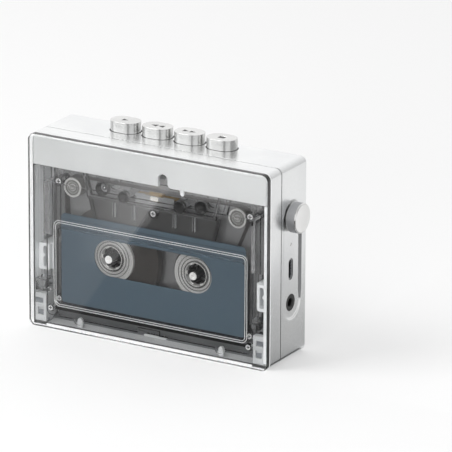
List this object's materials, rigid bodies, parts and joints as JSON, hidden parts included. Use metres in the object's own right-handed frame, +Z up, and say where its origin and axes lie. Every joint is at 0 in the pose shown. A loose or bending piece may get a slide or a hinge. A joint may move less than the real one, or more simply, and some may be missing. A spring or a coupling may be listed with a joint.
{
  "type": "portable cassette player",
  "caption": "Flat metal portable cassette player with a clear front door holding a loaded cassette, keys on top, and a side volume knob, charging socket and headphone jack.",
  "frame": {"origin": "centre of the flat base", "axes": "+X along the width to the right seen from the front, +Y from the front to the rear, +Z up"},
  "size_m": [0.125, 0.033, 0.0927],
  "materials": {
    "satin_aluminium": "fine bead-blasted anodised",
    "clear_polycarbonate": "clear moulded",
    "clear_styrene": "clear moulded",
    "light_grey_abs": "moulded",
    "grey_abs": "moulded",
    "steel": "turned",
    "brass": "turned",
    "white_acetal": "moulded",
    "black_rubber": "moulded",
    "black_plastic": "moulded",
    "tape_film": "wound film",
    "label_paper": "coated paper",
    "circuit_laminate": "solder mask",
    "battery_foil": "foil pouch"
  },
  "bodies": {
    "case": {"body_frame": "satin_aluminium", "rear_panel": "satin_aluminium", "chassis": "grey_abs", "chassis_screws": "steel", "hinge_bracket_left": "light_grey_abs", "hinge_bracket_right": "light_grey_abs", "guide_bracket_left": "light_grey_abs", "guide_bracket_right": "light_grey_abs", "gear_bridge": "steel", "key_guide": "grey_abs", "motor_bracket": "steel", "motor": "steel", "drive_belt": "black_rubber", "battery": "battery_foil", "circuit_board": "circuit_laminate", "usb_socket": "steel", "headphone_jack": "black_plastic", "status_light": "white_acetal", "volume_pot": "grey_abs", "play_spring": "steel", "rewind_spring": "steel", "forward_spring": "steel", "stop_spring": "steel"},
    "door": {"door_frame": "satin_aluminium", "window": "clear_polycarbonate", "top_band": "satin_aluminium", "cassette_holder": "clear_polycarbonate", "hinge_pins": "steel", "holder_screws": "steel", "cassette_front_shell": "clear_styrene", "cassette_rear_shell": "clear_styrene", "cassette_label": "label_paper", "cassette_screws": "steel", "tape_run": "tape_film", "pressure_pad": "brass"},
    "left_guide_roller": {"guide_roller_left": "white_acetal"},
    "right_guide_roller": {"guide_roller_right": "white_acetal"},
    "takeup_reel": {"takeup_hub": "white_acetal", "takeup_pack": "tape_film"},
    "supply_reel": {"supply_hub": "white_acetal", "supply_pack": "tape_film"},
    "takeup_shaft": {"takeup_spindle": "black_plastic"},
    "supply_shaft": {"supply_spindle": "black_plastic"},
    "takeup_wheel": {"takeup_gear": "white_acetal"},
    "flywheel_set": {"flywheel": "brass", "capstan": "steel", "drive_pinion": "white_acetal"},
    "idler": {"idler_gear": "white_acetal"},
    "pulley": {"motor_pulley": "brass"},
    "head_carriage": {"head_bar": "steel", "play_head": "steel"},
    "pinch_wheel": {"pinch_roller": "black_rubber"},
    "play": {"play_key": "satin_aluminium"},
    "rewind": {"rewind_key": "satin_aluminium"},
    "forward": {"forward_key": "satin_aluminium"},
    "stop": {"stop_key": "satin_aluminium"},
    "volume": {"volume_knob": "satin_aluminium", "volume_shaft": "steel"}
  },
  "joints": [
    {"name": "door_hinge", "type": "hinge", "parent": "case", "child": "door", "pos_m": [0, -0.0113, 0.0029], "axis": [1, 0, 0], "range_deg": [0, 30]},
    {"name": "flywheel_spin", "type": "hinge", "parent": "case", "child": "flywheel_set", "pos_m": [-0.0248, 0.005, 0.067], "axis": [0, 1, 0], "continuous": true},
    {"name": "idler_spin", "type": "hinge", "parent": "case", "child": "idler", "pos_m": [-0.02826, 0.008, 0.05482], "axis": [0, 1, 0], "continuous": true},
    {"name": "takeup_gear_spin", "type": "hinge", "parent": "case", "child": "takeup_wheel", "pos_m": [-0.02125, 0.008, 0.0356], "axis": [0, 1, 0], "continuous": true},
    {"name": "pulley_spin", "type": "hinge", "parent": "case", "child": "pulley", "pos_m": [0.039, 0.005, 0.062], "axis": [0, 1, 0], "continuous": true},
    {"name": "takeup_spindle_spin", "type": "hinge", "parent": "case", "child": "takeup_shaft", "pos_m": [-0.02125, 0.0015, 0.0356], "axis": [0, 1, 0], "continuous": true},
    {"name": "supply_spindle_spin", "type": "hinge", "parent": "case", "child": "supply_shaft", "pos_m": [0.02125, 0.0015, 0.0356], "axis": [0, 1, 0], "continuous": true},
    {"name": "takeup_reel_spin", "type": "hinge", "parent": "door", "child": "takeup_reel", "pos_m": [-0.02125, -0.005, 0.0356], "axis": [0, 1, 0], "continuous": true},
    {"name": "supply_reel_spin", "type": "hinge", "parent": "door", "child": "supply_reel", "pos_m": [0.02125, -0.005, 0.0356], "axis": [0, 1, 0], "continuous": true},
    {"name": "left_roller_spin", "type": "hinge", "parent": "door", "child": "left_guide_roller", "pos_m": [-0.0413, -0.005, 0.0642], "axis": [0, 1, 0], "continuous": true},
    {"name": "right_roller_spin", "type": "hinge", "parent": "door", "child": "right_guide_roller", "pos_m": [0.0413, -0.005, 0.0642], "axis": [0, 1, 0], "continuous": true},
    {"name": "play_press", "type": "slide", "parent": "case", "child": "play", "axis": [0, 0, -1], "range_m": [0, 0.004], "stiffness_N_per_m": 200, "springref_m": -0.003, "deforming": ["play_spring"]},
    {"name": "rewind_press", "type": "slide", "parent": "case", "child": "rewind", "axis": [0, 0, -1], "range_m": [0, 0.004], "stiffness_N_per_m": 200, "springref_m": -0.003, "deforming": ["rewind_spring"]},
    {"name": "forward_press", "type": "slide", "parent": "case", "child": "forward", "axis": [0, 0, -1], "range_m": [0, 0.004], "stiffness_N_per_m": 200, "springref_m": -0.003, "deforming": ["forward_spring"]},
    {"name": "stop_press", "type": "slide", "parent": "case", "child": "stop", "axis": [0, 0, -1], "range_m": [0, 0.004], "stiffness_N_per_m": 200, "springref_m": -0.003, "deforming": ["stop_spring"]},
    {"name": "head_slide", "type": "slide", "parent": "case", "child": "head_carriage", "axis": [0, 0, -1], "range_m": [0, 0.0063]},
    {"name": "pinch_spin", "type": "hinge", "parent": "head_carriage", "child": "pinch_wheel", "pos_m": [-0.0248, -0.005, 0.07948], "axis": [0, 1, 0], "continuous": true},
    {"name": "volume_turn", "type": "hinge", "parent": "case", "child": "volume", "pos_m": [0.06, 0.0052, 0.064], "axis": [1, 0, 0], "range_deg": [-135, 135]}
  ],
  "couplings": [
    {"joint": "idler_spin", "follows": "flywheel_spin", "ratio": -0.5},
    {"joint": "takeup_gear_spin", "follows": "flywheel_spin", "ratio": 0.35},
    {"joint": "pulley_spin", "follows": "flywheel_spin", "ratio": 3.2903},
    {"joint": "takeup_spindle_spin", "follows": "flywheel_spin", "ratio": 0.043478},
    {"joint": "takeup_reel_spin", "follows": "flywheel_spin", "ratio": 0.043478},
    {"joint": "supply_spindle_spin", "follows": "flywheel_spin", "ratio": 0.084746},
    {"joint": "supply_reel_spin", "follows": "flywheel_spin", "ratio": 0.084746},
    {"joint": "left_roller_spin", "follows": "flywheel_spin", "ratio": 0.22222},
    {"joint": "right_roller_spin", "follows": "flywheel_spin", "ratio": 0.22222},
    {"joint": "pinch_spin", "follows": "flywheel_spin", "ratio": -0.25},
    {"joint": "head_slide", "follows": "play_press", "ratio": 1.575}
  ]
}
